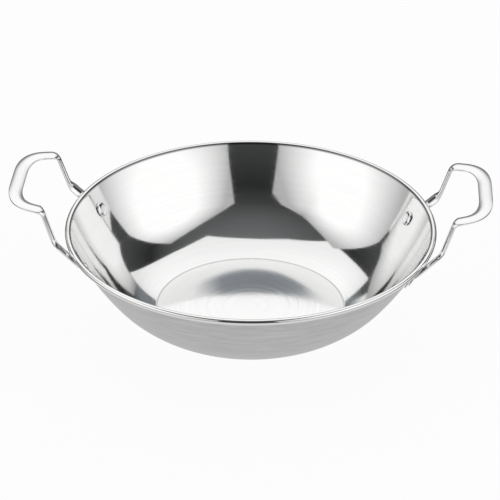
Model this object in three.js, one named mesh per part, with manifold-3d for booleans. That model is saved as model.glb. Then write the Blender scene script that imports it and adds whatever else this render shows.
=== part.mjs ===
// A two-handled stainless steel pan: a spun bowl with a curled rim and a pressed flat base,
// two bent strap handles, and four rivets that hold the handles' feet to the wall.
// Millimetres, +Z up. The origin is the centre of the base's underside.
import * as THREE from "three";
import { mergeVertices } from "three/addons/utils/BufferGeometryUtils.js";
import Module from "manifold-3d";

const degrees = THREE.MathUtils.degToRad;

// Bowl
const RIM_DIAMETER = 300; // over the curled rim
const BOWL_HEIGHT = 78; // from the hob to the top of the rim
const BOWL_SHEET = 1.0; // sheet thickness
const BASE_DIAMETER = 156; // flat inside base, to the crease
const LOWER_WALL_RADIUS = 97; // the wall's two arcs in section, on the inside
const UPPER_WALL_RADIUS = 258;
const UPPER_WALL_LENGTH = 51.3; // the upper arc's length, up to the curl
const CREASE_RADIUS = 2.5; // inside, where the flat base meets the wall
const CURL_DIAMETER = 4.7; // the rolled rim, outside
const CURL_GAP = 0.5; // between the curl's cut edge and the wall
const BOWL_FACETS = 72;
const LOWER_WALL_STEPS = 6;
const UPPER_WALL_STEPS = 4;
const CURL_STEPS = 9;
const CREASE_STEPS = 3;

// Handles
const STRAP_THICKNESS = 3.2; // at the grip, the legs and the neck
const FOOT_THICKNESS = 1.3;
const RIVET_SPACING = 100; // between the two rivets of one handle
const RIVET_DROP = 18.5; // rivet centre below the top of the rim
const FOOT_WIDTH = 13;
const FOOT_TAIL = 7.5; // from the rivet to the foot's round end
const FOOT_TOE_IN = degrees(2); // the foot and the neck close towards the grip, seen from above
const NECK_RISE = 5.9; // from the top of the rim to the fold between neck and leg
const NECK_WIDTH = 11;
const NECK_TURN = 0.2; // the neck's share of the turn of the strap's face from the foot to the grip
const LEG_TURN = 0.7; // the same for the leg
const LEG_TOE_IN = degrees(10);
const LEG_SLOPE = degrees(72);
const LEG_WIDTH = 7.2;
const GRIP_RISE = 34.9; // from the top of the rim to the fold between leg and grip
const GRIP_TILT = degrees(5); // the grip rises outwards
const GRIP_REACH = 37; // from the outside of the rim to the grip bar's centre line
const GRIP_LENGTH = 79; // between the corners of the grip's centre line
const GRIP_WIDTH = 11;
const ARM_WIDTH = 11.5;
const NECK_BEND = 14; // bend radii on the centre line
const LEG_BEND = 18;
const GRIP_BEND = 9;
const CORNER_BEND = 22;
const CORNER_SPREAD = 1.7; // how much further the corner's bend runs along the grip than along the arm
const BEND_STEPS = 6;
const TIP_STEPS = 4;
const STRAP_FACETS = 16; // round the strap's section

// Rivets
const SHANK_DIAMETER = 5;
const INNER_HEAD_DIAMETER = 12;
const INNER_HEAD_HEIGHT = 1.8;
const OUTER_HEAD_DIAMETER = 8.6;
const OUTER_HEAD_HEIGHT = 1.1;
const HEAD_RELIEF = 0.3; // the heads' undersides are eased back at their edges
const HEAD_STEPS = 4;
const RIVET_FACETS = 24;

// Clearances
const SEAT_GAP = 0.3; // between a foot and the wall it is riveted to
const HEAD_GAP = 0.3; // between a rivet's head and what it clamps
const SHANK_GAP = 0.3; // round a shank in its holes
const BEND_CLEARANCE = 0.1; // from a rivet's outer head to where the foot bends into the neck
const CURL_CLEARANCE = 0.3; // between the neck and the curled rim

// Finishes
const brushedSteel = new THREE.MeshStandardMaterial({ color: 0xb4b4b4, roughness: 0.35, metalness: 1 });
const polishedSteel = new THREE.MeshStandardMaterial({ color: 0xd6d6d6, roughness: 0.12, metalness: 1 });

const wasm = await Module();
wasm.setup();

// A closed geometry as a solid that can be cut.
function toSolid(geometry) {
  const bare = geometry.clone();
  bare.deleteAttribute("normal");
  bare.deleteAttribute("uv");
  const merged = mergeVertices(bare, 1e-4);
  const corners = merged.index.array;
  const kept = [];
  for (let i = 0; i < corners.length; i += 3) {
    const [a, b, c] = [corners[i], corners[i + 1], corners[i + 2]];
    if (a !== b && b !== c && c !== a) kept.push(a, b, c);
  }
  const mesh = new wasm.Mesh({
    numProp: 3,
    vertProperties: new Float32Array(merged.attributes.position.array),
    triVerts: new Uint32Array(kept),
  });
  return new wasm.Manifold(mesh);
}

// A solid back as a geometry.
function toGeometry(solid) {
  const mesh = solid.getMesh();
  const geometry = new THREE.BufferGeometry();
  geometry.setAttribute("position", new THREE.BufferAttribute(mesh.vertProperties, 3));
  geometry.setIndex(new THREE.BufferAttribute(mesh.triVerts, 1));
  geometry.computeVertexNormals();
  return geometry;
}

// Points on a circle in a section, from one angle to another, both ends included.
function arc(centre, radius, from, to, steps) {
  const points = [];
  for (let i = 0; i <= steps; i++) {
    const angle = from + ((to - from) * i) / steps;
    const [x, y] = [radius * Math.cos(angle), radius * Math.sin(angle)];
    points.push(new THREE.Vector2(centre.x + x, centre.y + y));
  }
  return points;
}

// The point at given distances from two others, on the left of the way from a to b.
function triangulate(a, fromA, b, fromB) {
  const between = b.clone().sub(a);
  const length = between.length();
  const along = (length * length + fromA * fromA - fromB * fromB) / (2 * length);
  const across = Math.sqrt(fromA * fromA - along * along);
  const unit = between.divideScalar(length);
  const left = new THREE.Vector2(-unit.y, unit.x);
  return a.clone().addScaledVector(unit, along).addScaledVector(left, across);
}

// The bowl's section, x from the axis and y up. The wall is a round arc from the base's crease and a
// flatter one up to the curl, which goes on from the wall's inside face, over the top and down to
// its cut edge.
const curlRadius = CURL_DIAMETER / 2;
const curlCentre = new THREE.Vector2(RIM_DIAMETER / 2 - curlRadius, BOWL_HEIGHT - curlRadius);
const crease = new THREE.Vector2(BASE_DIAMETER / 2, BOWL_SHEET);

// The two arcs meet on the line through their centres, so the curl's place from the lower arc's
// centre is known along that line and across it, and that centre follows from it.
const curlDistance = UPPER_WALL_RADIUS + curlRadius;
const upperTurn = UPPER_WALL_LENGTH / UPPER_WALL_RADIUS;
const centreGap = UPPER_WALL_RADIUS - LOWER_WALL_RADIUS;
const curlOffset = new THREE.Vector2(
  curlDistance * Math.cos(upperTurn) - centreGap,
  curlDistance * Math.sin(upperTurn),
);
const lowerCentre = triangulate(crease, LOWER_WALL_RADIUS, curlCentre, curlOffset.length());

// The angle of a point seen from the lower arc's centre.
const wallAngle = (point) => Math.atan2(point.y - lowerCentre.y, point.x - lowerCentre.x);

const joinAngle = wallAngle(curlCentre) - curlOffset.angle();
const topAngle = joinAngle + upperTurn;
const upperCentre = new THREE.Vector2(
  lowerCentre.x - centreGap * Math.cos(joinAngle),
  lowerCentre.y - centreGap * Math.sin(joinAngle),
);
const outerWallRadius = UPPER_WALL_RADIUS + BOWL_SHEET;

function bowlProfile() {
  const curlStart = topAngle + Math.PI;
  // The curl stops where its outside comes within the gap of the wall's outside.
  const edgeDistance = outerWallRadius + CURL_GAP;
  const squares = curlDistance ** 2 + curlRadius ** 2 - edgeDistance ** 2;
  const curlEnd = curlStart - 2 * Math.PI + Math.acos(squares / (2 * curlDistance * curlRadius));
  // The crease is rounded by a circle that touches the base and the wall on the inside.
  const creaseY = BOWL_SHEET + CREASE_RADIUS;
  const toCrease = LOWER_WALL_RADIUS - CREASE_RADIUS;
  const creaseX = lowerCentre.x + Math.sqrt(toCrease ** 2 - (creaseY - lowerCentre.y) ** 2);
  const creaseCentre = new THREE.Vector2(creaseX, creaseY);
  const footAngle = wallAngle(creaseCentre);
  const creaseStart = -Math.PI / 2;
  return [
    new THREE.Vector2(0, 0),
    ...arc(creaseCentre, CREASE_RADIUS + BOWL_SHEET, creaseStart, footAngle, CREASE_STEPS),
    ...arc(lowerCentre, LOWER_WALL_RADIUS + BOWL_SHEET, footAngle, joinAngle, LOWER_WALL_STEPS).slice(1),
    ...arc(upperCentre, outerWallRadius, joinAngle, topAngle, UPPER_WALL_STEPS).slice(1),
    ...arc(curlCentre, curlRadius - BOWL_SHEET, curlStart, curlEnd, CURL_STEPS).slice(1),
    ...arc(curlCentre, curlRadius, curlEnd, curlStart, CURL_STEPS),
    ...arc(upperCentre, UPPER_WALL_RADIUS, topAngle, joinAngle, UPPER_WALL_STEPS).slice(1),
    ...arc(lowerCentre, LOWER_WALL_RADIUS, joinAngle, footAngle, LOWER_WALL_STEPS).slice(1),
    ...arc(creaseCentre, CREASE_RADIUS, footAngle, creaseStart, CREASE_STEPS).slice(1),
    new THREE.Vector2(0, BOWL_SHEET),
  ];
}

// Where a rivet goes through the wall, and the frame there.
const up = new THREE.Vector3(0, 0, 1);
const rivetHeight = BOWL_HEIGHT - RIVET_DROP;
const rivetSlope = Math.acos((upperCentre.y - rivetHeight) / outerWallRadius);
const rivetX = upperCentre.x + outerWallRadius * Math.sin(rivetSlope);
const rivetAzimuth = Math.asin(RIVET_SPACING / 2 / rivetX);
const wallPoint = new THREE.Vector3(
  rivetX * Math.cos(rivetAzimuth),
  rivetX * Math.sin(rivetAzimuth),
  rivetHeight,
);
const wallNormal = new THREE.Vector3(
  Math.sin(rivetSlope) * Math.cos(rivetAzimuth),
  Math.sin(rivetSlope) * Math.sin(rivetAzimuth),
  -Math.cos(rivetSlope),
);

// A direction that leans from upright at a slope, and toes in towards the grip's middle.
const heading = (toeIn, slope) => new THREE.Vector3(
  Math.cos(slope) * Math.cos(toeIn),
  -Math.cos(slope) * Math.sin(toeIn),
  Math.sin(slope),
);

// The corners of half a handle's line, which runs along the middle of the strap's upper face. The
// foot is flat against the wall at the rivet, and lies in one upright plane with the neck.
function handleCorners() {
  const footPoint = wallPoint.clone().addScaledVector(wallNormal, SEAT_GAP);
  const level = heading(FOOT_TOE_IN, 0);
  const footSlope = Math.atan2(wallNormal.dot(level), -wallNormal.z);
  // The plane cuts the curl at a slant, so the curl's section in it is wider than the curl.
  const along = footPoint.dot(level);
  const asideSquared = footPoint.x ** 2 + footPoint.y ** 2 - along ** 2;
  const curlAlong = Math.sqrt(curlCentre.x ** 2 - asideSquared);
  const clear = ((curlRadius + CURL_CLEARANCE) * curlCentre.x) / curlAlong;
  // The bend off the wall starts clear of the rivet's head and ends where the neck just passes the
  // curl: the neck's line touches the bend's circle on one side and the curl's on the other.
  const flat = OUTER_HEAD_DIAMETER / 2 + BEND_CLEARANCE;
  const bendX = flat * Math.cos(footSlope) + NECK_BEND * Math.sin(footSlope);
  const bendZ = flat * Math.sin(footSlope) - NECK_BEND * Math.cos(footSlope);
  const toCurl = new THREE.Vector2(curlAlong - along - bendX, curlCentre.y - footPoint.z - bendZ);
  const neckSlope = toCurl.angle() - Math.asin((NECK_BEND + clear) / toCurl.length());
  const foldAt = flat + NECK_BEND * Math.tan((footSlope - neckSlope) / 2);
  const footWay = heading(FOOT_TOE_IN, footSlope);
  const neckWay = heading(FOOT_TOE_IN, neckSlope);
  const legWay = heading(LEG_TOE_IN, LEG_SLOPE);
  const tail = footPoint.clone().addScaledVector(footWay, -FOOT_TAIL);
  const neckFold = footPoint.clone().addScaledVector(footWay, foldAt);
  const neckLength = (BOWL_HEIGHT + NECK_RISE - neckFold.z) / neckWay.z;
  const legFold = neckFold.clone().addScaledVector(neckWay, neckLength);
  const gripFold = legFold.clone().addScaledVector(legWay, (GRIP_RISE - NECK_RISE) / legWay.z);
  const barX = RIM_DIAMETER / 2 + GRIP_REACH;
  const barZ = gripFold.z + (barX - gripFold.x) * Math.tan(GRIP_TILT);
  const corner = new THREE.Vector3(barX, GRIP_LENGTH / 2, barZ);
  return [tail, neckFold, legFold, gripFold, corner, corner.clone().setY(0)];
}

// The strap's section, its upper face along y = 0. Squareness 1 is an ellipse, and smaller values
// flatten the faces and square the edges.
function strapOutline({ width, thickness, squareness }) {
  const outline = [];
  const power = (value) => Math.sign(value) * Math.abs(value) ** squareness;
  for (let i = 0; i < STRAP_FACETS; i++) {
    const angle = (2 * Math.PI * i) / STRAP_FACETS;
    const x = (width / 2) * power(Math.cos(angle));
    const y = (thickness / 2) * (power(Math.sin(angle)) - 1);
    outline.push(new THREE.Vector2(x, y));
  }
  return outline;
}

// Sections along half a handle: each has its place, its way along, its upper face's direction and
// its sizes.
function handleStations() {
  const path = handleCorners();
  const bends = [0, NECK_BEND, LEG_BEND, GRIP_BEND, CORNER_BEND];
  const spreads = [1, 1, 1, 1, CORNER_SPREAD];
  const ways = path.slice(1).map((point, i) => point.clone().sub(path[i]).normalize());
  const footFace = wallNormal.clone().negate();
  const gripFace = new THREE.Vector3(-Math.sin(GRIP_TILT), 0, Math.cos(GRIP_TILT));
  // The neck and the leg share the turn of the strap's face between the foot and the grip's arm.
  const footSide = footFace.clone().cross(ways[0]).normalize();
  const armSide = gripFace.clone().cross(ways[3]).normalize();
  const neckSide = footSide.clone().lerp(armSide, NECK_TURN);
  const legSide = footSide.clone().lerp(armSide, LEG_TURN);
  const faces = [
    footFace,
    ways[1].clone().cross(neckSide).normalize(),
    ways[2].clone().cross(legSide).normalize(),
    gripFace,
    gripFace,
  ];
  const sizes = [
    { width: FOOT_WIDTH, thickness: FOOT_THICKNESS, squareness: 0.3 },
    { width: NECK_WIDTH, thickness: STRAP_THICKNESS, squareness: 0.4 },
    { width: LEG_WIDTH, thickness: STRAP_THICKNESS, squareness: 0.5 },
    { width: ARM_WIDTH, thickness: STRAP_THICKNESS, squareness: 0.6 },
    { width: GRIP_WIDTH, thickness: STRAP_THICKNESS, squareness: 0.6 },
  ];
  const { lerp, smoothstep } = THREE.MathUtils;
  const mix = (a, b, share) => ({
    width: lerp(a.width, b.width, share),
    thickness: lerp(a.thickness, b.thickness, share),
    squareness: lerp(a.squareness, b.squareness, share),
  });
  const stations = [];
  // The foot's round end: its width follows a half circle.
  const tipStart = degrees(25);
  for (let i = 0; i <= TIP_STEPS; i++) {
    const angle = tipStart + ((Math.PI / 2 - tipStart) * i) / TIP_STEPS;
    stations.push({
      point: path[0].clone().addScaledVector(ways[0], (FOOT_WIDTH / 2) * (1 - Math.cos(angle))),
      way: ways[0],
      face: footFace,
      size: { ...sizes[0], width: FOOT_WIDTH * Math.sin(angle) },
    });
  }
  // Each bend is a curve from one straight to the next, and the section changes over it.
  for (let i = 1; i < bends.length; i++) {
    const trim = bends[i] * Math.tan(ways[i - 1].angleTo(ways[i]) / 2);
    const from = path[i].clone().addScaledVector(ways[i - 1], -trim);
    const to = path[i].clone().addScaledVector(ways[i], trim * spreads[i]);
    const bend = new THREE.QuadraticBezierCurve3(from, path[i], to);
    for (let j = 0; j <= BEND_STEPS; j++) {
      const along = j / BEND_STEPS;
      const share = smoothstep(along, 0, 1);
      stations.push({
        point: bend.getPoint(along),
        way: bend.getTangent(along),
        face: faces[i - 1].clone().lerp(faces[i], share),
        size: mix(sizes[i - 1], sizes[i], share),
      });
    }
  }
  stations.push({ point: path[5], way: ways[4], face: gripFace, size: sizes[4] });
  return stations;
}

// A closed skin through rings of points, with flat ends.
function loft(rings) {
  const count = STRAP_FACETS;
  const positions = rings.flatMap((ring) => ring.flatMap((point) => point.toArray()));
  const faces = [];
  for (let i = 0; i + 1 < rings.length; i++) {
    for (let j = 0; j < count; j++) {
      const k = (j + 1) % count;
      const [a, b, c, d] = [i * count + j, i * count + k, (i + 1) * count + k, (i + 1) * count + j];
      faces.push(a, b, c, a, c, d);
    }
  }
  const last = (rings.length - 1) * count;
  for (let j = 1; j + 1 < count; j++) {
    faces.push(0, j + 1, j, last, last + j, last + j + 1);
  }
  const geometry = new THREE.BufferGeometry();
  geometry.setAttribute("position", new THREE.Float32BufferAttribute(positions, 3));
  geometry.setIndex(faces);
  return geometry;
}

// A point or direction on the same end of the handle, or mirrored to the other.
const mirror = (vector, end) => new THREE.Vector3(vector.x, vector.y * end, vector.z);

function handleLoft() {
  const half = handleStations().map(({ point, way, face, size }) => {
    const side = face.clone().cross(way).normalize();
    const top = way.clone().cross(side).normalize();
    const place = ({ x, y }) => point.clone().addScaledVector(side, x).addScaledVector(top, y);
    return strapOutline(size).map(place);
  });
  const mirrored = half.slice(0, -1).map((ring) => ring.map((point) => mirror(point, -1)));
  return loft([...half, ...mirrored.reverse()]);
}

// A rivet along +Z: its inside head ends below zero, where the wall's outside is, and its shank runs
// up through the foot to the head that was formed over it. The inside head's flat underside stands
// off the hollow of the wall.
function rivetProfile() {
  const shank = SHANK_DIAMETER / 2;
  const hollow = (INNER_HEAD_DIAMETER ** 2 * Math.sin(rivetSlope)) / (8 * rivetX);
  const head = (radius, height, level) => {
    const way = Math.sign(height);
    const points = [new THREE.Vector2(shank, level), new THREE.Vector2(radius - 2 * HEAD_RELIEF, level)];
    for (let i = 0; i < HEAD_STEPS; i++) {
      const angle = ((Math.PI / 2) * i) / HEAD_STEPS;
      const rise = (height - way * HEAD_RELIEF) * Math.sin(angle);
      const x = radius * Math.sqrt(Math.cos(angle));
      points.push(new THREE.Vector2(x, level + way * HEAD_RELIEF + rise));
    }
    points.push(new THREE.Vector2(0, level + height));
    return points;
  };
  const inner = head(INNER_HEAD_DIAMETER / 2, -INNER_HEAD_HEIGHT, -BOWL_SHEET - hollow - HEAD_GAP);
  const outer = head(OUTER_HEAD_DIAMETER / 2, OUTER_HEAD_HEIGHT, SEAT_GAP + FOOT_THICKNESS + HEAD_GAP);
  return [...inner.reverse(), ...outer];
}

// A lathed solid with its axis along +Z.
const turned = (profile, facets) => new THREE.LatheGeometry(profile, facets).rotateX(Math.PI / 2);

// A drill along a rivet's axis, long enough for the wall and the foot.
function drill(point, direction) {
  const length = 4 * (BOWL_SHEET + SEAT_GAP + FOOT_THICKNESS);
  const radius = SHANK_DIAMETER / 2 + SHANK_GAP;
  const geometry = new THREE.CylinderGeometry(radius, radius, length, RIVET_FACETS).rotateX(Math.PI / 2);
  const turn = new THREE.Quaternion().setFromUnitVectors(up, direction);
  return toSolid(geometry.applyQuaternion(turn).translate(point.x, point.y, point.z));
}

// The handles are turned half round from each other, so each names its two ends by itself.
const handles = [
  { side: "right", turn: 0, ends: { rear: 1, front: -1 } },
  { side: "left", turn: Math.PI, ends: { rear: -1, front: 1 } },
];

const pan = new THREE.Group();

let bowl = toSolid(turned(bowlProfile(), BOWL_FACETS));
for (const { turn, ends } of handles) {
  for (const end of Object.values(ends)) {
    const point = mirror(wallPoint, end).applyAxisAngle(up, turn);
    const direction = mirror(wallNormal, end).applyAxisAngle(up, turn);
    bowl = bowl.subtract(drill(point, direction));
  }
}
const bowlMesh = new THREE.Mesh(toGeometry(bowl), brushedSteel);
bowlMesh.name = "bowl";
pan.add(bowlMesh);

let handle = toSolid(handleLoft());
for (const end of [1, -1]) {
  handle = handle.subtract(drill(mirror(wallPoint, end), mirror(wallNormal, end)));
}
const handleGeometry = toGeometry(handle);
const rivetGeometry = turned(rivetProfile(), RIVET_FACETS);

for (const { side, turn, ends } of handles) {
  const group = new THREE.Group();
  group.rotation.z = turn;
  const handleMesh = new THREE.Mesh(handleGeometry, polishedSteel);
  handleMesh.name = `${side}_handle`;
  group.add(handleMesh);
  for (const [endName, end] of Object.entries(ends)) {
    const rivet = new THREE.Mesh(rivetGeometry, polishedSteel);
    rivet.name = `${side}_${endName}_rivet`;
    rivet.position.copy(mirror(wallPoint, end));
    rivet.quaternion.setFromUnitVectors(up, mirror(wallNormal, end));
    group.add(rivet);
  }
  pan.add(group);
}

export default pan;
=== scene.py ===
import bpy, bmesh, math
from mathutils import Matrix, Vector


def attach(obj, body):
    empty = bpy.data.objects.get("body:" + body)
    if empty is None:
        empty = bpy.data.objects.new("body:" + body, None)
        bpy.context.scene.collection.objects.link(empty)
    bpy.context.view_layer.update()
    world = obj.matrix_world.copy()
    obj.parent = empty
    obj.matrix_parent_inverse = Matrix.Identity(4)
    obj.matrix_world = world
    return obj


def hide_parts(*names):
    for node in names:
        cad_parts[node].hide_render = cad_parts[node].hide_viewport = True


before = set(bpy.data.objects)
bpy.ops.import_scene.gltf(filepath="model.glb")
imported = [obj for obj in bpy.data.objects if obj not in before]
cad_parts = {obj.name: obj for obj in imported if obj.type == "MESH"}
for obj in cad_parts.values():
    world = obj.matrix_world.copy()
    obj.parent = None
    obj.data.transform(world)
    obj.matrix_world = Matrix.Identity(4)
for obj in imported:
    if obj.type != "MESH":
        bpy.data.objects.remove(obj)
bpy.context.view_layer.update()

# Bowl
# One disc of stainless sheet, spun over a former: a flat base, a wall that is round below and flatter
# above, and a rim rolled outwards into a hollow curl. The inside and the curl are buffed bright, and
# the outside is left satin.
MM = 0.001
rim_radius = 150 * MM
bowl_height = 78 * MM
sheet = 1.0 * MM
base_radius = 78 * MM
lower_radius = 97 * MM
upper_radius = 258 * MM
upper_length = 51.3 * MM
crease_radius = 2.5 * MM
curl_radius = 2.35 * MM
curl_gap = 0.5 * MM
round_steps = 256
crease_steps = 8
lower_steps = 48
upper_steps = 24
curl_steps = 40


def from_angle(angle, length=1.0):
    return Vector((math.cos(angle) * length, math.sin(angle) * length))


def angle_to(point, centre):
    return math.atan2(point.y - centre.y, point.x - centre.x)


# Points of the section: x from the bowl's axis, y up. The wall's two arcs meet on the line through
# their centres, which gives the curl's offset from the lower one.
curl_centre = Vector((rim_radius - curl_radius, bowl_height - curl_radius))
crease_point = Vector((base_radius, sheet))
to_curl = upper_radius + curl_radius
upper_turn = upper_length / upper_radius
centre_gap = upper_radius - lower_radius
curl_offset = from_angle(upper_turn, to_curl) - Vector((centre_gap, 0))
chord = curl_centre - crease_point
along = (chord.length_squared + lower_radius**2 - curl_offset.length_squared) / (2 * chord.length)
across = math.sqrt(lower_radius**2 - along**2)
lower_centre = crease_point + chord.normalized() * along + chord.normalized().orthogonal() * across
join_angle = angle_to(curl_centre, lower_centre) - math.atan2(curl_offset.y, curl_offset.x)
upper_centre = lower_centre - from_angle(join_angle, centre_gap)
crease_y = sheet + crease_radius
crease_reach = math.sqrt((lower_radius - crease_radius) ** 2 - (crease_y - lower_centre.y) ** 2)
crease_centre = Vector((lower_centre.x + crease_reach, crease_y))
foot_angle = angle_to(crease_centre, lower_centre)
outer_radius = upper_radius + sheet
edge_reach = outer_radius + curl_gap
cos_edge = (to_curl**2 + curl_radius**2 - edge_reach**2) / (2 * to_curl * curl_radius)
curl_turn = 2 * math.pi - math.acos(cos_edge)


def line_to(bm, vert, x, y):
    made = bmesh.ops.extrude_vert_indiv(bm, verts=[vert])["verts"][0]
    made.co = (x, 0, y)
    return made


def arc_about(bm, vert, centre, angle, steps):
    made = bmesh.ops.spin(
        bm, geom=[vert], cent=(centre.x, 0, centre.y), axis=(0, -1, 0), angle=angle, steps=steps
    )
    return [item for item in made["geom_last"] if isinstance(item, bmesh.types.BMVert)][0]


def turn_section(bm, edges, steps, material):
    before = set(bm.faces)
    section = edges + list({vert for edge in edges for vert in edge.verts})
    bmesh.ops.spin(bm, geom=section, axis=(0, 0, 1), angle=2 * math.pi, steps=steps, use_merge=True)
    for face in bm.faces:
        if face not in before:
            face.material_index = material


bm = bmesh.new()
vert = bm.verts.new((0, 0, sheet))
for share in (0.25, 0.5, 0.75, 0.99):
    vert = line_to(bm, vert, crease_centre.x * share, sheet)
vert = line_to(bm, vert, crease_centre.x, sheet)
vert = arc_about(bm, vert, crease_centre, foot_angle + math.pi / 2, crease_steps)
vert = arc_about(bm, vert, lower_centre, join_angle - foot_angle, lower_steps)
vert = arc_about(bm, vert, upper_centre, upper_turn, upper_steps)
vert = arc_about(bm, vert, curl_centre, -curl_turn, curl_steps)
edge_way = (curl_centre - Vector((vert.co.x, vert.co.z))).normalized() * sheet
vert = line_to(bm, vert, vert.co.x + edge_way.x, vert.co.z + edge_way.y)
vert = arc_about(bm, vert, curl_centre, curl_turn, curl_steps)
turn_section(bm, list(bm.edges), round_steps, 0)
inside_edges = set(bm.edges)
outer_top = upper_centre + from_angle(join_angle + upper_turn, outer_radius)
vert = bm.verts.new((outer_top.x, 0, outer_top.y))
vert = arc_about(bm, vert, upper_centre, -upper_turn, upper_steps)
vert = arc_about(bm, vert, lower_centre, foot_angle - join_angle, lower_steps)
vert = arc_about(bm, vert, crease_centre, -foot_angle - math.pi / 2, crease_steps)
for share in (0.99, 0.75, 0.5, 0.25, 0):
    vert = line_to(bm, vert, crease_centre.x * share, 0)
turn_section(bm, [edge for edge in bm.edges if edge not in inside_edges], round_steps, 1)
bmesh.ops.remove_doubles(bm, verts=bm.verts, dist=0.02 * MM)
bmesh.ops.recalc_face_normals(bm, faces=bm.faces)


def finish_piece(bm, name, body, nodes, materials):
    mesh = bpy.data.meshes.new(name)
    bm.to_mesh(mesh)
    bm.free()
    mesh.polygons.foreach_set("use_smooth", [True] * len(mesh.polygons))
    mesh.set_sharp_from_angle(angle=math.radians(40))
    for material in materials:
        mesh.materials.append(material)
    piece = bpy.data.objects.new(name, mesh)
    bpy.context.collection.objects.link(piece)
    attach(piece, body)
    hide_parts(*nodes)


def srgb(code):
    values = [int(code[i:i + 2], 16) / 255 for i in (1, 3, 5)]
    return [v / 12.92 if v <= 0.04045 else ((v + 0.055) / 1.055) ** 2.4 for v in values] + [1]


def add_node(tree, kind, inputs=None, **settings):
    made = tree.nodes.new(kind)
    for name, value in settings.items():
        setattr(made, name, value)
    for socket, value in (inputs or {}).items():
        if isinstance(value, bpy.types.NodeSocket):
            tree.links.new(value, made.inputs[socket])
        else:
            made.inputs[socket].default_value = value
    return made


def new_material(name):
    material = bpy.data.materials.new(name)
    material.use_nodes = True
    material.node_tree.nodes.clear()
    return material, material.node_tree


# Buffed stainless steel. The wall mirrors the room with a little waviness from the spinning. The base
# keeps more of the buffing wheel's fine rings, which blur what it mirrors a little.
buffed_steel, tree = new_material("buffed_stainless_steel")
place = add_node(tree, "ShaderNodeTexCoord").outputs["Object"]
flat_place = add_node(tree, "ShaderNodeVectorMath", {0: place, 1: (1, 1, 0)},
                      operation="MULTIPLY").outputs[0]
radius = add_node(tree, "ShaderNodeVectorMath", {0: flat_place}, operation="LENGTH").outputs["Value"]
# Rings of about 1.6 mm, drawn coarser than the real grit so that they show.
ring_place = add_node(tree, "ShaderNodeCombineXYZ", {"Z": add_node(
    tree, "ShaderNodeMath", {0: radius, 1: 1 / (1.6 * MM)}, operation="MULTIPLY").outputs[0]}).outputs[0]
ring_place = add_node(tree, "ShaderNodeVectorMath", {0: flat_place, 1: (12, 12, 12), 2: ring_place},
                      operation="MULTIPLY_ADD").outputs[0]
rings = add_node(tree, "ShaderNodeTexNoise", {"Vector": ring_place, "Scale": 1.0, "Detail": 3.0,
                                              "Roughness": 0.6}).outputs["Fac"]
on_base = add_node(tree, "ShaderNodeMapRange", {
    "Value": radius, "From Min": crease_centre.x + 0.8 * MM, "From Max": crease_centre.x - 0.8 * MM,
    "To Min": 0.0, "To Max": 1.0}, interpolation_type="SMOOTHSTEP").outputs[0]
smooth_wall = add_node(tree, "ShaderNodeMapRange", {
    "Value": rings, "From Min": 0.3, "From Max": 0.7, "To Min": 0.05, "To Max": 0.09}).outputs[0]
ringed_base = add_node(tree, "ShaderNodeMapRange", {
    "Value": rings, "From Min": 0.3, "From Max": 0.7, "To Min": 0.06, "To Max": 0.13}).outputs[0]
roughness = add_node(tree, "ShaderNodeMix", {"Factor": on_base, 2: smooth_wall, 3: ringed_base}).outputs[0]
# Waves of about 45 mm left by the spinning roller.
waves = add_node(tree, "ShaderNodeTexNoise", {
    "Vector": place, "Scale": 1 / (45 * MM), "Detail": 1.0}).outputs["Fac"]
wave_bump = add_node(tree, "ShaderNodeBump", {
    "Height": waves, "Strength": 0.4, "Distance": 0.4 * MM}).outputs[0]
ring_bump = add_node(tree, "ShaderNodeBump", {"Height": rings, "Normal": wave_bump, "Strength": 0.3,
                                              "Distance": 0.02 * MM}).outputs[0]
tone = add_node(tree, "ShaderNodeMix", {"Factor": rings, 6: srgb("#f3f3f2"), 7: srgb("#ebebeb")},
                data_type="RGBA").outputs[2]
# Painted shade: a dark line is painted into the colour over about a millimetre in the crease and along the
# line where the curl turns off the wall. It stands for the shade and dark reflections there.
curl_foot = upper_centre + from_angle(join_angle + upper_turn, upper_radius)
crease_painted_shade = (crease_centre.x, 1.2 * MM, 0.35)
curl_painted_shade = (curl_foot.x + 0.35 * MM, 0.9 * MM, 0.8)
for line_radius, half_width, painted_shade_depth in (crease_painted_shade, curl_painted_shade):
    from_line = add_node(tree, "ShaderNodeMath", {0: radius, 1: line_radius},
                         operation="SUBTRACT").outputs[0]
    from_line = add_node(tree, "ShaderNodeMath", {0: from_line}, operation="ABSOLUTE").outputs[0]
    in_painted_shade = add_node(tree, "ShaderNodeMapRange", {
        "Value": from_line, "From Min": 0.3 * MM, "From Max": half_width,
        "To Min": painted_shade_depth, "To Max": 0.0}).outputs[0]
    tone = add_node(tree, "ShaderNodeMix", {"Factor": in_painted_shade, 6: tone, 7: srgb("#303030")},
                    data_type="RGBA").outputs[2]
shader = add_node(tree, "ShaderNodeBsdfPrincipled", {
    "Base Color": tone, "Metallic": 1.0, "Roughness": roughness, "Normal": ring_bump})
add_node(tree, "ShaderNodeOutputMaterial", {"Surface": shader.outputs[0]})

# Satin stainless steel. The belt ran round the outside, and its lines spread the light up and down.
satin_steel, tree = new_material("satin_stainless_steel")
place = add_node(tree, "ShaderNodeTexCoord").outputs["Object"]
flat_place = add_node(tree, "ShaderNodeVectorMath", {0: place, 1: (1, 1, 0)},
                      operation="MULTIPLY").outputs[0]
radius = add_node(tree, "ShaderNodeVectorMath", {0: flat_place}, operation="LENGTH").outputs["Value"]
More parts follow.
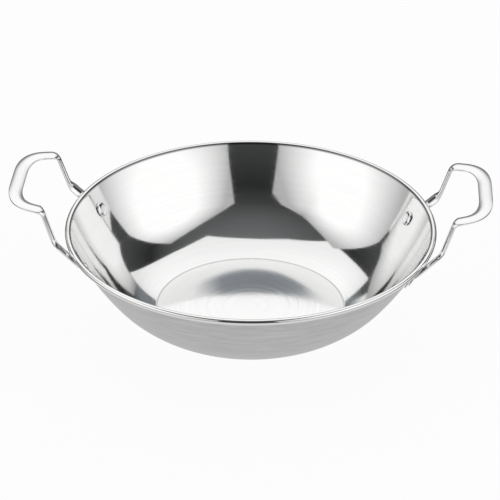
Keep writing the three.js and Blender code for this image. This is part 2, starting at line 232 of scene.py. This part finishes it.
# Lines of about 2 mm, drawn coarser than the belt's grit so that they show.
ring_place = add_node(tree, "ShaderNodeCombineXYZ", {"Z": add_node(
    tree, "ShaderNodeMath", {0: radius, 1: 1 / (2.0 * MM)}, operation="MULTIPLY").outputs[0]}).outputs[0]
ring_place = add_node(tree, "ShaderNodeVectorMath", {0: place, 1: (40, 40, 40), 2: ring_place},
                      operation="MULTIPLY_ADD").outputs[0]
rings = add_node(tree, "ShaderNodeTexNoise", {"Vector": ring_place, "Scale": 1.0, "Detail": 4.0,
                                              "Roughness": 0.65}).outputs["Fac"]
tone = add_node(tree, "ShaderNodeMix", {"Factor": rings, 6: srgb("#aaa9a9"), 7: srgb("#e6e5e5")},
                data_type="RGBA").outputs[2]
roughness = add_node(tree, "ShaderNodeMapRange", {
    "Value": rings, "From Min": 0.3, "From Max": 0.7, "To Min": 0.30, "To Max": 0.42}).outputs[0]
bump = add_node(tree, "ShaderNodeBump", {
    "Height": rings, "Strength": 0.15, "Distance": 0.05 * MM}).outputs[0]
shader = add_node(tree, "ShaderNodeBsdfPrincipled", {
    "Base Color": tone, "Metallic": 1.0, "Roughness": roughness, "Normal": bump})
add_node(tree, "ShaderNodeOutputMaterial", {"Surface": shader.outputs[0]})

finish_piece(bm, "bowl_spun", "root", ["bowl"], [buffed_steel, satin_steel])

# Handles
# Each is one strap of stainless steel, bent cold: two flat feet against the wall, necks that lean out
# past the curled rim, upright legs, and a wider level grip to hold. It is polished all over.
strap_thickness = 3.2 * MM
foot_thickness = 1.3 * MM
rivet_spacing = 100 * MM
rivet_drop = 18.5 * MM
foot_width = 13 * MM
foot_tail = 7.5 * MM
foot_toe_in = math.radians(2)
neck_rise = 5.9 * MM
neck_width = 11 * MM
neck_turn = 0.2
leg_turn = 0.7
leg_toe_in = math.radians(10)
leg_slope = math.radians(72)
leg_width = 7.2 * MM
grip_rise = 34.9 * MM
grip_tilt = math.radians(5)
grip_reach = 37 * MM
grip_length = 79 * MM
grip_width = 11 * MM
arm_width = 11.5 * MM
neck_bend = 14 * MM
leg_bend = 18 * MM
grip_bend = 9 * MM
corner_bend = 22 * MM
corner_spread = 1.7
seat_gap = 0.3 * MM
bend_clearance = 0.1 * MM
curl_clearance = 0.3 * MM
outer_head_radius = 4.3 * MM
crown = 0.8
tip_start = math.radians(12)
tip_steps = 8
bend_steps = 18
strap_facets = 40

# The rivet's place on the wall's outside, at the right rear, and the wall's direction there.
rivet_height = bowl_height - rivet_drop
rivet_slope = math.acos((upper_centre.y - rivet_height) / outer_radius)
rivet_x = upper_centre.x + outer_radius * math.sin(rivet_slope)
rivet_azimuth = math.asin(rivet_spacing / 2 / rivet_x)
wall_point = Vector((rivet_x * math.cos(rivet_azimuth), rivet_x * math.sin(rivet_azimuth), rivet_height))
wall_normal = Vector((math.sin(rivet_slope) * math.cos(rivet_azimuth),
                      math.sin(rivet_slope) * math.sin(rivet_azimuth), -math.cos(rivet_slope)))


def heading(toe_in, slope):
    level = math.cos(slope)
    return Vector((level * math.cos(toe_in), -level * math.sin(toe_in), math.sin(slope)))


# The corners of half the strap's line. The neck's line touches the bend off the wall on one side and
# clears the curl on the other.
foot_point = wall_point + wall_normal * seat_gap
level = heading(foot_toe_in, 0)
foot_slope = math.atan2(wall_normal.dot(level), -wall_normal.z)
foot_along = foot_point.dot(level)
curl_along = math.sqrt(curl_centre.x**2 - foot_point.xy.length_squared + foot_along**2)
clear = (curl_radius + curl_clearance) * curl_centre.x / curl_along
flat = outer_head_radius + bend_clearance
bend_to_curl = Vector((
    curl_along - foot_along - flat * math.cos(foot_slope) - neck_bend * math.sin(foot_slope),
    curl_centre.y - foot_point.z - flat * math.sin(foot_slope) + neck_bend * math.cos(foot_slope)))
neck_slope = math.atan2(bend_to_curl.y, bend_to_curl.x)
neck_slope -= math.asin((neck_bend + clear) / bend_to_curl.length)
fold_at = flat + neck_bend * math.tan((foot_slope - neck_slope) / 2)
foot_way, neck_way, leg_way = (
    heading(foot_toe_in, foot_slope), heading(foot_toe_in, neck_slope), heading(leg_toe_in, leg_slope))
tail = foot_point - foot_way * foot_tail
neck_fold = foot_point + foot_way * fold_at
leg_fold = neck_fold + neck_way * ((bowl_height + neck_rise - neck_fold.z) / neck_way.z)
grip_fold = leg_fold + leg_way * ((grip_rise - neck_rise) / leg_way.z)
bar_x = rim_radius + grip_reach
bar_z = grip_fold.z + (bar_x - grip_fold.x) * math.tan(grip_tilt)
corner = Vector((bar_x, grip_length / 2, bar_z))
middle = Vector((bar_x, 0, bar_z))
path = [tail, neck_fold, leg_fold, grip_fold, corner, middle]
ways = [(b - a).normalized() for a, b in zip(path, path[1:])]
foot_face = -wall_normal
grip_face = Vector((-math.sin(grip_tilt), 0, math.cos(grip_tilt)))
foot_side = foot_face.cross(ways[0]).normalized()
arm_side = grip_face.cross(ways[3]).normalized()
faces = [foot_face, ways[1].cross(foot_side.lerp(arm_side, neck_turn)).normalized(),
         ways[2].cross(foot_side.lerp(arm_side, leg_turn)).normalized(), grip_face, grip_face]
widths = [foot_width, neck_width, leg_width, arm_width, grip_width]
thicknesses = [foot_thickness] + [strap_thickness] * 4
bends = [0, neck_bend, leg_bend, grip_bend, corner_bend]
# The corner's bend runs further along the grip than along the arm.
spreads = [1, 1, 1, 1, corner_spread]


def strap_place(point, way, face, width, thickness):
    side = face.cross(way).normalized()
    top = way.cross(side).normalized()
    place = Matrix((side * width / 2, way.normalized() * MM, top * thickness / 2)).transposed().to_4x4()
    place.translation = point - top * thickness / 2
    return place


def strap_places():
    places = []
    for i in range(tip_steps + 1):
        angle = tip_start + (math.pi / 2 - tip_start) * i / tip_steps
        point = tail + ways[0] * foot_width / 2 * (1 - math.cos(angle))
        places.append(strap_place(point, ways[0], foot_face, foot_width * math.sin(angle), foot_thickness))
    for i in range(1, 5):
        trim = bends[i] * math.tan(ways[i - 1].angle(ways[i]) / 2)
        start, end = path[i] - ways[i - 1] * trim, path[i] + ways[i] * trim * spreads[i]
        for step in range(bend_steps + 1):
            t = step / bend_steps
            share = t * t * (3 - 2 * t)
            point = start * (1 - t) ** 2 + path[i] * 2 * t * (1 - t) + end * t**2
            way = (path[i] - start) * (1 - t) + (end - path[i]) * t
            face = faces[i - 1].lerp(faces[i], share)
            width = widths[i - 1] + (widths[i] - widths[i - 1]) * share
            thickness = thicknesses[i - 1] + (thicknesses[i] - thicknesses[i - 1]) * share
            places.append(strap_place(point, way, face, width, thickness))
    places.append(strap_place(middle, ways[4], grip_face, grip_width, strap_thickness))
    return places


def bent_strap(turn):
    bm = bmesh.new()
    ring = bmesh.ops.create_circle(bm, radius=1, segments=strap_facets, cap_ends=True)["verts"]
    # A crowned top, rounded edges and a nearly flat underside.
    for vert in ring:
        across, up = math.copysign(abs(vert.co.x) ** 0.6, vert.co.x), abs(vert.co.y) ** 0.5
        vert.co = (across, 0, (1 - crown) * up + crown * (1 - across**2) if vert.co.y > 0 else -up)
    places = strap_places()
    bmesh.ops.transform(bm, verts=ring, matrix=places[0])
    edges = list(bm.edges)
    for here, there in zip(places, places[1:]):
        made = bmesh.ops.extrude_edge_only(bm, edges=edges)["geom"]
        edges = [item for item in made if isinstance(item, bmesh.types.BMEdge)]
        ring = [item for item in made if isinstance(item, bmesh.types.BMVert)]
        bmesh.ops.transform(bm, verts=ring, matrix=there @ here.inverted())
    bmesh.ops.mirror(bm, geom=bm.verts[:] + bm.edges[:] + bm.faces[:], axis="Y", merge_dist=0.01 * MM)
    bmesh.ops.remove_doubles(bm, verts=bm.verts, dist=0.005 * MM)
    bmesh.ops.rotate(bm, verts=bm.verts, matrix=Matrix.Rotation(turn, 3, "Z"))
    bmesh.ops.recalc_face_normals(bm, faces=bm.faces)
    return bm


# Polished stainless strap. The polish is bright, with fine hairlines from handling.
polished_strap, tree = new_material("polished_stainless_strap")
place = add_node(tree, "ShaderNodeTexCoord").outputs["Object"]
hairlines = add_node(tree, "ShaderNodeTexNoise", {
    "Vector": place, "Scale": 1 / (1.5 * MM), "Detail": 4.0, "Roughness": 0.7}).outputs["Fac"]
tone = add_node(tree, "ShaderNodeMix", {"Factor": hairlines, 6: srgb("#f2f2f2"), 7: srgb("#ececed")},
                data_type="RGBA").outputs[2]
roughness = add_node(tree, "ShaderNodeMapRange", {
    "Value": hairlines, "From Min": 0.3, "From Max": 0.7, "To Min": 0.08, "To Max": 0.16}).outputs[0]
bump = add_node(tree, "ShaderNodeBump", {
    "Height": hairlines, "Strength": 0.05, "Distance": 0.05 * MM}).outputs[0]
shader = add_node(tree, "ShaderNodeBsdfPrincipled", {
    "Base Color": tone, "Metallic": 1.0, "Roughness": roughness, "Normal": bump})
add_node(tree, "ShaderNodeOutputMaterial", {"Surface": shader.outputs[0]})

for side, turn in (("right", 0), ("left", math.pi)):
    finish_piece(bent_strap(turn), side + "_handle_strap", "root", [side + "_handle"],
                 [polished_strap])

# Rivets
# Four solid steel rivets hold the feet. Each has a domed head inside the bowl, and a smaller head
# outside that was formed over the foot.
shank_radius = 2.5 * MM
inner_head_radius = 6 * MM
inner_head_height = 1.8 * MM
outer_head_height = 1.1 * MM
head_relief = 0.3 * MM
head_gap = 0.3 * MM
dome_steps = 12
rivet_facets = 48
# Seen from inside, the wall rises towards the inner head's edge, and the head stands off by as much.
hollow = inner_head_radius**2 * math.sin(rivet_slope) / (2 * rivet_x)


def turned_rivet(end, turn):
    bm = bmesh.new()
    inner_level = -sheet - hollow - head_gap
    outer_level = seat_gap + foot_thickness + head_gap
    vert = bm.verts.new((0, 0, inner_level - inner_head_height))
    for i in range(1, dome_steps + 1):
        angle = math.pi / 2 * (1 - i / dome_steps)
        width = inner_head_radius * math.sqrt(math.cos(angle))
        rise = (inner_head_height - head_relief) * math.sin(angle)
        vert = line_to(bm, vert, width, inner_level - head_relief - rise)
    vert = line_to(bm, vert, inner_head_radius - 2 * head_relief, inner_level)
    vert = line_to(bm, vert, shank_radius, inner_level)
    vert = line_to(bm, vert, shank_radius, outer_level)
    vert = line_to(bm, vert, outer_head_radius - 2 * head_relief, outer_level)
    for i in range(dome_steps + 1):
        angle = math.pi / 2 * i / dome_steps
        width = outer_head_radius * math.sqrt(abs(math.cos(angle)))
        rise = (outer_head_height - head_relief) * math.sin(angle)
        vert = line_to(bm, vert, width, outer_level + head_relief + rise)
    turn_section(bm, list(bm.edges), rivet_facets, 0)
    bmesh.ops.remove_doubles(bm, verts=bm.verts, dist=0.002 * MM)
    mirror = Vector((1, end, 1))
    tilt = Vector((0, 0, 1)).rotation_difference(wall_normal * mirror).to_matrix().to_4x4()
    place = Matrix.Rotation(turn, 4, "Z") @ Matrix.Translation(wall_point * mirror) @ tilt
    bmesh.ops.transform(bm, verts=bm.verts, matrix=place)
    bmesh.ops.recalc_face_normals(bm, faces=bm.faces)
    return bm


# Formed steel: smooth where the tool pressed it, slightly uneven all over.
rivet_steel, tree = new_material("formed_steel_rivet")
place = add_node(tree, "ShaderNodeTexCoord").outputs["Object"]
dents = add_node(tree, "ShaderNodeTexNoise", {
    "Vector": place, "Scale": 1 / (3 * MM), "Detail": 3.0}).outputs["Fac"]
tone = add_node(tree, "ShaderNodeMix", {"Factor": dents, 6: srgb("#f0f0f0"), 7: srgb("#e8e8e9")},
                data_type="RGBA").outputs[2]
roughness = add_node(tree, "ShaderNodeMapRange", {
    "Value": dents, "From Min": 0.3, "From Max": 0.7, "To Min": 0.10, "To Max": 0.18}).outputs[0]
bump = add_node(tree, "ShaderNodeBump", {"Height": dents, "Strength": 0.2, "Distance": 0.1 * MM}).outputs[0]
shader = add_node(tree, "ShaderNodeBsdfPrincipled", {
    "Base Color": tone, "Metallic": 1.0, "Roughness": roughness, "Normal": bump})
add_node(tree, "ShaderNodeOutputMaterial", {"Surface": shader.outputs[0]})

for name, end, turn in (("right_rear", 1, 0), ("right_front", -1, 0),
                        ("left_rear", -1, math.pi), ("left_front", 1, math.pi)):
    finish_piece(turned_rivet(end, turn), name + "_rivet_formed", "root", [name + "_rivet"],
                 [rivet_steel])

# Studio
# The pan stands on a white table. Two tall white panels stand in front of it, left and right, with a
# dark gap between them for the camera, and a white sheet hangs overhead and sweeps down behind.


def stage_sheet(name, corners, material):
    bm = bmesh.new()
    bmesh.ops.contextual_create(bm, geom=[bm.verts.new(point) for point in corners])
    mesh = bpy.data.meshes.new(name)
    bm.to_mesh(mesh)
    bm.free()
    mesh.materials.append(material)
    made = bpy.data.objects.new(name, mesh)
    bpy.context.collection.objects.link(made)
    return made


# White table. The camera sees it plain white. Metal sees a painted pool of light glowing on it, bright in
# front and dim behind.
bright_middle = (0, -0.25, 0)
bright_reach, dim_reach = 0.36, 0.44
white_table, tree = new_material("white_table")
path_node = add_node(tree, "ShaderNodeLightPath")
camera_ray = path_node.outputs["Is Camera Ray"]
seen = add_node(tree, "ShaderNodeMath", {0: camera_ray, 1: path_node.outputs["Is Glossy Ray"]},
                operation="MAXIMUM").outputs[0]
seen = add_node(tree, "ShaderNodeMath", {0: seen, 1: path_node.outputs["Is Transmission Ray"]},
                operation="MAXIMUM").outputs[0]
share = add_node(tree, "ShaderNodeMath", {0: seen, 1: 0.95}, operation="MULTIPLY").outputs[0]
place = add_node(tree, "ShaderNodeTexCoord").outputs["Object"]
distance = add_node(tree, "ShaderNodeVectorMath", {0: place, 1: bright_middle},
                    operation="DISTANCE").outputs["Value"]
painted_pool_strength = add_node(tree, "ShaderNodeMapRange", {
    "Value": distance, "From Min": bright_reach, "From Max": dim_reach,
    "To Min": 0.75, "To Max": 0.06}).outputs[0]
strength = add_node(tree, "ShaderNodeMix", {"Factor": camera_ray, 2: painted_pool_strength, 3: 1.0}).outputs[0]
paper = add_node(tree, "ShaderNodeBsdfDiffuse", {"Color": srgb("#f4f4f4")}).outputs[0]
glow = add_node(tree, "ShaderNodeEmission", {"Color": (1, 1, 1, 1), "Strength": strength}).outputs[0]
mixed = add_node(tree, "ShaderNodeMixShader", {"Fac": share, 1: paper, 2: glow}).outputs[0]
add_node(tree, "ShaderNodeOutputMaterial", {"Surface": mixed})
# It lies a little below the base, so that the two don't share a plane.
table_level = -0.3 * MM
table_half = 6
stage_sheet("table", [(x * table_half, y * table_half, table_level)
                      for x, y in ((-1, -1), (1, -1), (1, 1), (-1, 1))], white_table)


# A white sheet lit by a lamp behind it: strongest about its centre, and weaker towards its reach.
def lit_sheet(name, centre, reach, strongest, weakest):
    material, tree = new_material(name)
    place = add_node(tree, "ShaderNodeTexCoord").outputs["Object"]
    scaled = add_node(tree, "ShaderNodeMapping", {
        "Vector": place, "Location": centre, "Scale": reach}, vector_type="TEXTURE").outputs[0]
    middle = add_node(tree, "ShaderNodeTexGradient", {"Vector": scaled},
                      gradient_type="SPHERICAL").outputs["Fac"]
    strength = add_node(tree, "ShaderNodeMapRange", {
        "Value": middle, "From Min": 0.0, "From Max": 0.6,
        "To Min": weakest, "To Max": strongest}).outputs[0]
    glow = add_node(tree, "ShaderNodeEmission", {"Color": (1, 1, 1, 1), "Strength": strength}).outputs[0]
    add_node(tree, "ShaderNodeOutputMaterial", {"Surface": glow})
    return material


def unseen_sheet(name, corners, material):
    stage_sheet(name, corners, material).visible_camera = False


left_light = lit_sheet("left_light", (-1.8, -0.8, 1.1), (2.1, 2.1, 1.35), 1.15, 0.5)
unseen_sheet("left_panel_front", [(-0.66, -2.46, 0), (-1.66, -1.42, 0), (-1.66, -1.42, 2.52),
                                  (-0.66, -2.46, 2.3)], left_light)
unseen_sheet("left_panel_side", [(-1.66, -1.42, 0), (-2.09, 1.2, 0), (-1.97, 0.5, 2.38),
                                 (-1.66, -1.42, 2.52)], left_light)
right_light = lit_sheet("right_light", (1.5, -0.4, 1.1), (2.0, 2.0, 1.35), 1.15, 0.5)
unseen_sheet("right_panel", [(0.71, -2.13, 0), (2.21, 1.2, 0), (1.9, 0.5, 2.36), (0.71, -2.13, 2.36)],
             right_light)
low_light = lit_sheet("low_light", (0, 0, 0), (6, 6, 6), 0.85, 0.85)
unseen_sheet("left_low_sheet", [(-2.05, 1.0, 0), (-1.57, 1.94, 0), (-1.57, 1.94, 0.5), (-2.05, 1.0, 0.5)],
             low_light)
unseen_sheet("right_low_sheet", [(2.12, 1.0, 0), (1.57, 1.94, 0), (1.57, 1.94, 0.5), (2.12, 1.0, 0.5)],
             low_light)
overhead_light = lit_sheet("overhead_light", (-0.3, 2.6, 2.5), (3.6, 3.6, 3.6), 1.12, 0.88)
unseen_sheet("overhead", [(1.02, -0.24, 2.5), (4.1, 4.9, 2.5), (-4.4, 4.9, 2.5), (-2.1, 0.14, 2.5),
                          (-0.8, -0.21, 2.5)], overhead_light)
behind_light = lit_sheet("behind_light", (0, 4.9, 3.6), (9, 9, 2.2), 1.15, 0.25)
unseen_sheet("behind", [(-4.4, 4.9, 0), (4.1, 4.9, 0), (4.1, 4.9, 2.5), (-4.4, 4.9, 2.5)], behind_light)

# A narrow glowing grey sheet above the rear rim paints the dark arc in the base: a painted reflection, seen
# only in reflections of reflections. It is clear to rays that come straight from the wall, so that the wall
# doesn't mirror it too, and it fades towards its ends.
card_height = 130 * MM
card_inner, card_outer = 132 * MM, 140.4 * MM
card_start, card_sweep = math.radians(73), math.radians(34)
card_steps = 24
fade_start, fade_end = 22 * MM, 40 * MM
painted_reflection_card, tree = new_material("painted_reflection_card")
bounces = add_node(tree, "ShaderNodeLightPath").outputs["Glossy Depth"]
twice = add_node(tree, "ShaderNodeMath", {0: bounces, 1: 1.5}, operation="GREATER_THAN").outputs[0]
place = add_node(tree, "ShaderNodeTexCoord").outputs["Object"]
sideways = add_node(tree, "ShaderNodeSeparateXYZ", {0: place}).outputs["X"]
sideways = add_node(tree, "ShaderNodeMath", {0: sideways}, operation="ABSOLUTE").outputs[0]
faded = add_node(tree, "ShaderNodeMapRange", {
    "Value": sideways, "From Min": fade_start, "From Max": fade_end,
    "To Min": 1.0, "To Max": 0.0}).outputs[0]
shown = add_node(tree, "ShaderNodeMath", {0: twice, 1: faded}, operation="MULTIPLY").outputs[0]
unseen = add_node(tree, "ShaderNodeBsdfTransparent").outputs[0]
glow = add_node(tree, "ShaderNodeEmission", {"Color": srgb("#848a90"), "Strength": 1.0}).outputs[0]
mixed = add_node(tree, "ShaderNodeMixShader", {"Fac": shown, 1: unseen, 2: glow}).outputs[0]
add_node(tree, "ShaderNodeOutputMaterial", {"Surface": mixed})
bm = bmesh.new()
edge = bm.edges.new([bm.verts.new((x, 0, card_height)) for x in (card_inner, card_outer)])
bmesh.ops.rotate(bm, verts=bm.verts, matrix=Matrix.Rotation(card_start, 3, "Z"))
bmesh.ops.spin(bm, geom=[edge, *edge.verts], axis=(0, 0, 1), angle=card_sweep, steps=card_steps)
mesh = bpy.data.meshes.new("painted_reflection_arc")
bm.to_mesh(mesh)
bm.free()
mesh.materials.append(painted_reflection_card)
painted_reflection_arc = bpy.data.objects.new("painted_reflection_arc", mesh)
bpy.context.collection.objects.link(painted_reflection_arc)
painted_reflection_arc.visible_camera = False
painted_reflection_arc.visible_diffuse = False
painted_reflection_arc.visible_shadow = False

# The room beyond is dim, darkest a little above the camera, and white only to the camera.
darkest_rise = 0.62
world = bpy.data.worlds.new("dim_room")
bpy.context.scene.world = world
world.use_nodes = True
tree = world.node_tree
tree.nodes.clear()
camera_ray = add_node(tree, "ShaderNodeLightPath").outputs["Is Camera Ray"]
way = add_node(tree, "ShaderNodeTexCoord").outputs["Generated"]
rise = add_node(tree, "ShaderNodeSeparateXYZ", {0: way}).outputs["Z"]
ceiling = add_node(tree, "ShaderNodeMapRange", {
    "Value": rise, "From Min": darkest_rise, "From Max": 0.98, "To Min": 0.026, "To Max": 0.16}).outputs[0]
lower = add_node(tree, "ShaderNodeMapRange", {
    "Value": rise, "From Min": 0.35, "From Max": darkest_rise, "To Min": 0.04, "To Max": 0.0}).outputs[0]
dim = add_node(tree, "ShaderNodeMath", {0: ceiling, 1: lower}, operation="ADD").outputs[0]
strength = add_node(tree, "ShaderNodeMix", {"Factor": camera_ray, 2: dim, 3: 1.0}).outputs[0]
tint = add_node(tree, "ShaderNodeMix", {"Factor": camera_ray, 6: srgb("#f8fbfd"), 7: (1, 1, 1, 1)},
                data_type="RGBA").outputs[2]
room = add_node(tree, "ShaderNodeBackground", {"Color": tint, "Strength": strength}).outputs[0]
add_node(tree, "ShaderNodeOutputWorld", {"Surface": room})

# Camera
# A long lens from in front, 30 degrees above the table.
camera_turn = math.radians(2.97)
camera_rise = math.radians(29.82)
camera_roll = math.radians(0.24)
camera_place = Vector((-0.56 * MM, 46.76 * MM, 1.875))
camera_data = bpy.data.cameras.new("camera")
camera_data.lens = 163.5
camera_data.sensor_width = 36
camera = bpy.data.objects.new("camera", camera_data)
bpy.context.collection.objects.link(camera)
aimed = Matrix.Rotation(camera_turn, 4, "Z") @ Matrix.Rotation(math.pi / 2 - camera_rise, 4, "X")
placed = Matrix.Translation(camera_place) @ Matrix.Rotation(camera_roll, 4, "Z")
camera.matrix_world = aimed @ placed
bpy.context.scene.camera = camera
bpy.context.scene.view_settings.view_transform = "Standard"
# Light goes from wall to wall inside the bowl more often than the default of four bounces.
bpy.context.scene.cycles.glossy_bounces = 8
